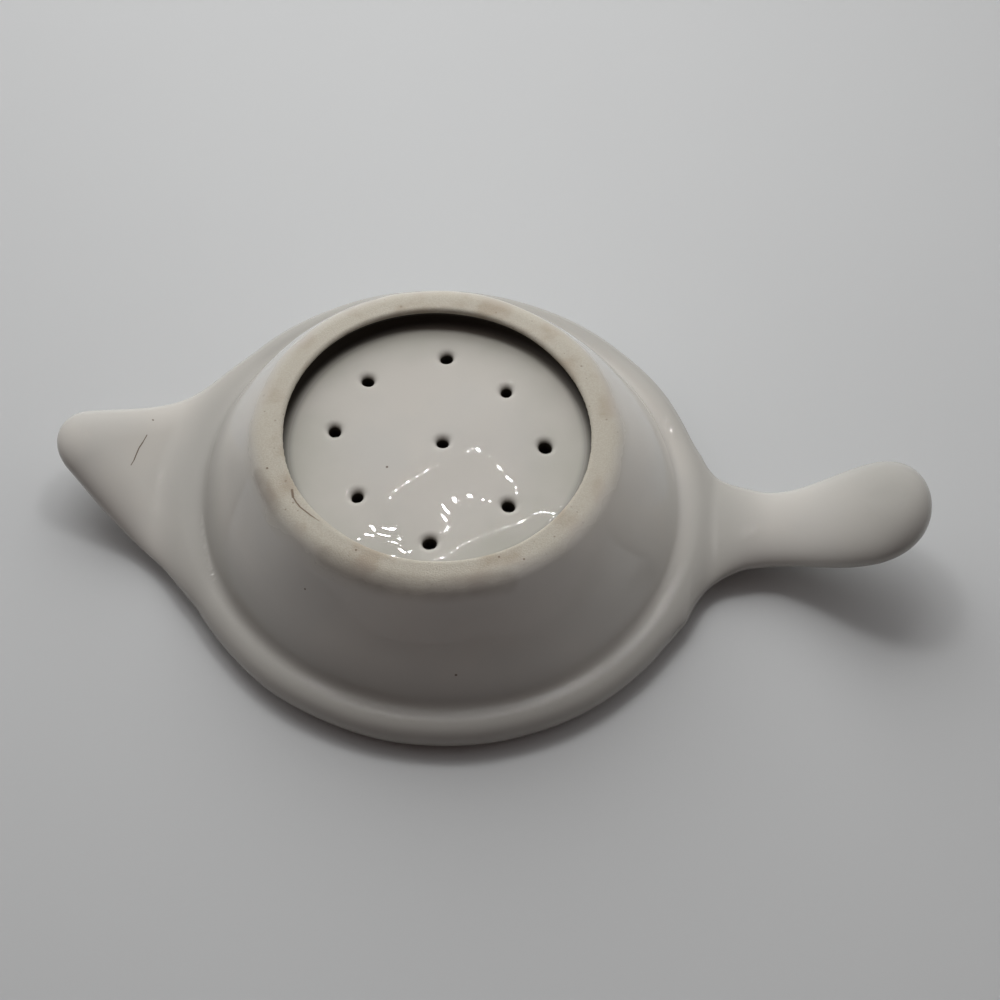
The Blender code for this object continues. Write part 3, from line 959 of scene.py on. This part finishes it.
@dataclass(frozen=True)
class BareFootFinish:
    """Wiped foot: bare matt clay between two soft edges of glaze."""

    glaze: GlazeFinish
    name: str = "bare_foot"
    colour: Colour = (0.515, 0.490, 0.420)
    stain: Colour = (0.360, 0.290, 0.215)
    dark: Colour = (0.20, 0.15, 0.11)
    outer: float = 26.2
    soft: float = 1.9
    wander: float = 2.6
    roughness: float = 0.82
    stain_span: Span = (0.48, 0.70)
    stain_share: float = 0.55
    grain_span: Span = (0.30, 0.70)
    grain_share: float = 0.35
    freckle_share: float = 0.5
    painted_shade_span: Span = (0.10, 0.80)
    painted_shade_share: float = 0.45
    glaze_bump: float = 0.3
    bump_strength: float = 0.5
    bump_height: float = 0.10
    marks: tuple[Mark, ...] = ()
    # Strokes of painted shade on the foot's front rounding.
    painted_shade_marks: tuple[Mark, ...] = ()

    def material(self, effects: Effects) -> bpy.types.Material:
        """Make the finish as a material."""
        surface = Surface(self.name, effects)
        graph = surface.graph
        glaze_colour, glaze_rough, glaze_height = self.glaze.lay(surface)
        recess = surface.effect(effects.recess, Centre=self.glaze.foot_centre)
        radius = recess.outputs["Radius"]
        clay = surface.effect(effects.ripple, Cloud_Size=5.0, Ripple_Size=1.2, Grain_Size=0.22)
        drift = graph.times(graph.maths("SUBTRACT", clay.outputs["Tone"], 0.5), self.wander)
        reach = graph.maths("ADD", radius, drift)
        bare = graph.times(graph.ramp(reach, self.outer + self.soft, self.outer - self.soft),
                           # Bare clay gives way to the glaze's painted shade in the undercut.
                           graph.maths("SUBTRACT", 1.0, recess.outputs["Painted Crevice Shade"]))
        stained = graph.ramp(clay.outputs["Tone"], *self.stain_span)
        freckles = surface.effect(effects.speckle, Spacing=0.9, Radius=0.20, Share=0.20)
        grain = graph.ramp(clay.outputs["Grain"], *self.grain_span)
        colour = graph.blend(graph.times(stained, self.stain_share), self.colour, self.stain)
        colour = graph.blend(graph.times(grain, self.grain_share), colour, self.stain)
        colour = graph.blend(graph.times(freckles.outputs[0], self.freckle_share), colour, self.dark)
        colour = graph.blend(bare, glaze_colour, colour)
        # Painted shade along the foot's front, broken up by the clay's tone.
        tone_and_painted_shade = graph.times(surface.marks(self.painted_shade_marks), graph.ramp(clay.outputs["Tone"], *self.painted_shade_span))
        colour = graph.blend(graph.times(tone_and_painted_shade, self.painted_shade_share), colour, self.dark)
        colour = graph.blend(surface.marks(self.marks), colour, self.dark)
        graph.feed(surface.shader, "Base Color", colour)
        graph.feed(surface.shader, "Roughness", graph.between(bare, glaze_rough, self.roughness))
        pits = graph.times(clay.outputs["Grain"], bare)
        height = graph.maths("ADD", pits, graph.times(glaze_height, self.glaze_bump))
        surface.bump(height, self.bump_strength, self.bump_height)
        return surface.material


@dataclass(frozen=True)
class TableFinish:
    """Plain pale table top."""

    name: str = "pale_table"
    colour: Colour = (0.585, 0.598, 0.600)
    cloud: Colour = (0.570, 0.580, 0.582)
    roughness: float = 0.7

    def material(self, effects: Effects) -> bpy.types.Material:
        """Make the finish as a material."""
        surface = Surface(self.name, effects)
        graph = surface.graph
        ripple = surface.effect(effects.ripple, Cloud_Size=60.0, Ripple_Size=2.0, Grain_Size=0.5)
        colour = graph.blend(ripple.outputs["Tone"], self.colour, self.cloud)
        graph.feed(surface.shader, "Base Color", colour)
        surface.shader.inputs["Roughness"].default_value = self.roughness
        return surface.material


@dataclass
class Strainer:
    """The strainer's pieces and their dressing, with the marks that firing left on them and painted shade
    along the foot's front.
    """

    form: ClayForm
    foot_plane: float = 18.65
    limb_plane: float = 43.6
    glaze_marks: tuple[Mark, ...] = (
        Mark(((-52.50, 2.76, 6.84), (-52.70, 1.25, 7.02)), 0.10),
        Mark(((-52.70, 1.25, 7.02), (-52.94, -0.07, 7.21), (-53.02, -1.47, 7.30), (-53.06, -2.45, 7.35)),
             0.13),
        Mark(((-53.06, -2.45, 7.35), (-53.22, -3.51, 7.48)), 0.09),
        Mark(((-52.49, 6.04, 6.36),), 0.22),
        Mark(((-21.23, -26.48, 15.81),), 0.20),
        Mark(((-20.80, -33.05, 4.83),), 0.28),
        Mark(((0.39, -33.74, 9.59),), 0.26),
        Mark(((-13.12, -6.36, 17.85),), 0.26),
    )
    foot_marks: tuple[Mark, ...] = (
        Mark(((-24.88, -14.23, 21.28), (-24.49, -15.42, 21.36), (-23.92, -16.19, 21.37),
              (-23.21, -16.95, 21.40), (-21.60, -18.07, 21.39), (-20.05, -18.99, 21.32)), 0.15),
        Mark(((-24.88, -14.23, 21.28), (-24.49, -15.42, 21.36)), 0.26),
        Mark(((4.75, -21.57, 21.34),), 0.22),
        Mark(((8.11, -21.51, 21.40),), 0.20),
        Mark(((-14.41, -22.87, 21.39),), 0.20),
        Mark(((-29.03, -11.08, 21.41),), 0.26),
    )
    # Painted shade: darker bands on the front rounding of the foot ring, which faces away from the light.
    foot_painted_shade: tuple[Mark, ...] = (
        Mark(((-18.0, -24.0, 20.6), (-11.0, -26.6, 20.4), (-3.0, -27.0, 20.4), (6.0, -25.0, 20.6)), 2.4),
        Mark(((-30.5, -12.0, 20.9), (-27.0, -17.0, 20.9)), 1.6),
    )

    def specs(self) -> tuple[PieceSpec, ...]:
        """Pieces of the strainer with their parting planes."""
        foot = (0.0, 0.0, self.foot_plane)
        handle = (self.limb_plane, 0.0, 0.0)
        tab = (-self.limb_plane, 0.0, 0.0)
        below = Cut(foot, (0.0, 0.0, -1.0), ring=True)
        above = Cut(foot, (0.0, 0.0, 1.0), ring=True)
        inward = (Cut(handle, (-1.0, 0.0, 0.0)), Cut(tab, (1.0, 0.0, 0.0)))
        return (
            PieceSpec("glazed_bowl", ("bowl_wall", "rim_bead", "strainer_floor"), (below, *inward),
                      Slot.GLAZE),
            PieceSpec("bare_foot_ring", ("foot_ring",), (above,), Slot.BISQUE),
            PieceSpec("glazed_handle", ("handle",), (Cut(handle, (1.0, 0.0, 0.0)),), Slot.GLAZE),
            PieceSpec("glazed_lip_tab", ("lip_tab",), (Cut(tab, (-1.0, 0.0, 0.0)),), Slot.GLAZE),
        )

    def build(self) -> list[bpy.types.Object]:
        """Part the form into its pieces."""
        parting = Parting(self.form)
        return [parting.part(spec) for spec in self.specs()]

    def dress(self, pieces: list[bpy.types.Object], effects: Effects) -> None:
        """Give each parted piece its finish."""
        glazed = GlazeFinish(marks=self.glaze_marks).material(effects)
        foot = BareFootFinish(GlazeFinish(), marks=self.foot_marks, painted_shade_marks=self.foot_painted_shade)
        bare = foot.material(effects)
        for piece in pieces:
            piece.data.materials.append(bare if piece.name == "bare_foot_ring" else glazed)


def direction(azimuth: float, elevation: float) -> Point:
    """Unit direction from angles in degrees, azimuth from +X towards +Y."""
    a, e = radians(azimuth), radians(elevation)
    return cos(a) * cos(e), sin(a) * cos(e), sin(e)


@dataclass(frozen=True)
class Glow:
    """Broad soft light from one side of the room, strongest along its axis."""

    azimuth: float
    elevation: float
    focus: float
    strength: float
    colour: Colour = (1.0, 1.0, 1.0)


@dataclass
class Studio:
    """Pale table, soft light and the camera."""

    table_half: float = 900.0
    table_cells: int = 8
    ring_lamps: int = 60
    ring_radius: float = 42.0
    ring_distance: float = 340.0
    ring_elevation: float = 64.0
    ring_azimuth: float = 96.0
    ring_power: float = 0.17
    ring_aim: float = 17.0
    lamp_radius: float = 0.40
    key_size: float = 420.0
    key_place: Point = (-80.0, 270.0, 280.0)
    key_power: float = 0.98
    near_size: float = 30.0
    near_place: Point = (-8.0, 60.0, 150.0)
    near_power: float = 0.036
    backdrop: Colour = (0.60, 0.61, 0.61)
    sheen: Colour = (0.36, 0.35, 0.35)
    glows: tuple[Glow, ...] = (
        Glow(95.0, 45.0, 3.0, 0.40),
        Glow(152.0, 20.0, 6.0, 1.10),
        Glow(28.0, 18.0, 6.0, 0.85),
        Glow(270.0, 50.0, 3.0, 0.03, (1.70, 0.60, 0.50)),
    )
    lens: float = 54.0
    sensor: float = 36.0
    eye: Point = (16.92, -127.78, 191.32)
    target: Point = (2.12, 2.10, 0.0)
    roll: float = 0.49
    clip: Span = (0.01, 10.0)

    def table(self, effects: Effects) -> None:
        """Lay the table top under the strainer."""
        bm = bmesh.new()
        cells = self.table_cells
        bmesh.ops.create_grid(bm, x_segments=cells, y_segments=cells, size=self.table_half * MM)
        mesh = bpy.data.meshes.new("table_top")
        bm.to_mesh(mesh)
        bm.free()
        table = bpy.data.objects.new("table_top", mesh)
        mesh.materials.append(TableFinish().material(effects))
        bpy.context.scene.collection.objects.link(table)

    def ring_light(self) -> None:
        """Hang a ring of small lamps behind and above the strainer."""
        data = bpy.data.lights.new("ring_lamp", "POINT")
        data.energy = self.ring_power / self.ring_lamps
        data.shadow_soft_size = self.lamp_radius * MM
        facing = Vector(direction(self.ring_azimuth, self.ring_elevation))
        centre = (facing * self.ring_distance + Vector((0.0, 0.0, self.ring_aim))) * MM
        turn = facing.to_track_quat("Z", "Y").to_matrix()
        for index in range(self.ring_lamps):
            angle = 2.0 * pi * index / self.ring_lamps
            spoke = Vector((cos(angle), sin(angle), 0.0)) * self.ring_radius * MM
            lamp = bpy.data.objects.new("ring_lamp_%02d" % index, data)
            lamp.location = centre + turn @ spoke
            bpy.context.scene.collection.objects.link(lamp)

    def round_light(self, name: str, place: Point, size: float, power: float) -> None:
        """Hang a soft round light that faces the strainer and stays out of its reflections.

        Args:
            name: Name of the light.
            place: Middle of the light, in millimetres.
            size: Diameter.
            power: Power in watts.
        """
        data = bpy.data.lights.new(name, "AREA")
        data.shape = "DISK"
        data.size = size * MM
        data.energy = power
        light = bpy.data.objects.new(name, data)
        light.location = Vector(place) * MM
        light.rotation_euler = (-Vector(place)).to_track_quat("-Z", "Y").to_euler()
        light.visible_glossy = False
        bpy.context.scene.collection.objects.link(light)

    def lights(self) -> None:
        """Hang the lamps and set the room's soft light."""
        self.ring_light()
        self.round_light("key_light", self.key_place, self.key_size, self.key_power)
        self.round_light("near_light", self.near_place, self.near_size, self.near_power)
        world = bpy.data.worlds.new("room")
        bpy.context.scene.world = world
        world.use_nodes = True
        graph = Graph(world.node_tree)
        outward = graph.node("ShaderNodeTexCoord").outputs["Generated"]
        total: object = (0.0, 0.0, 0.0)
        for glow in self.glows:
            axis = direction(glow.azimuth, glow.elevation)
            facing = graph.vector("DOT_PRODUCT", outward, axis)
            level = graph.maths("POWER", graph.maths("MAXIMUM", facing, 0.0), glow.focus)
            light = graph.scaled(tuple(glow.strength * part for part in glow.colour), level)
            total = graph.vector("ADD", total, light)
        path = graph.node("ShaderNodeLightPath")
        room = graph.blend(path.outputs["Is Glossy Ray"], total, self.sheen)
        room = graph.blend(path.outputs["Is Camera Ray"], room, self.backdrop)
        graph.feed(world.node_tree.nodes["Background"], "Color", room)

    def camera(self) -> None:
        """Place the camera at the photograph's viewing angle."""
        data = bpy.data.cameras.new("view")
        data.lens = self.lens
        data.sensor_width = self.sensor
        data.clip_start, data.clip_end = self.clip
        camera = bpy.data.objects.new("view", data)
        eye, target = Vector(self.eye) * MM, Vector(self.target) * MM
        turn = (target - eye).to_track_quat("-Z", "Y").to_matrix().to_4x4()
        camera.matrix_world = Matrix.Translation(eye) @ turn @ Matrix.Rotation(radians(self.roll), 4, "Z")
        bpy.context.scene.collection.objects.link(camera)
        bpy.context.scene.camera = camera


def main() -> None:
    """Build the strainer, dress it and set the studio."""
    logging.basicConfig(level=logging.INFO, format="%(name)s %(message)s")
    bpy.context.scene.view_settings.view_transform = "Standard"
    effects = Effects()
    handle = Handle(Side.HANDLE, turn=-1.5, start=37.0, level=2.6, rise=13.0, rise_from=46.5,
                    rise_to=75.5, fillet=2.2)
    tab = LipTab(Side.TAB, turn=1.5, start=37.0, level=2.5, rise=9.6, rise_from=41.5,
                 rise_to=61.5, fillet=3.4)
    strainer = Strainer(ClayForm(TurnedBowl(), PiercedFloor(), handle, tab))
    pieces = strainer.build()
    strainer.dress(pieces, effects)
    studio = Studio()
    studio.table(effects)
    studio.lights()
    studio.camera()


if __name__ == "__main__":
    main()
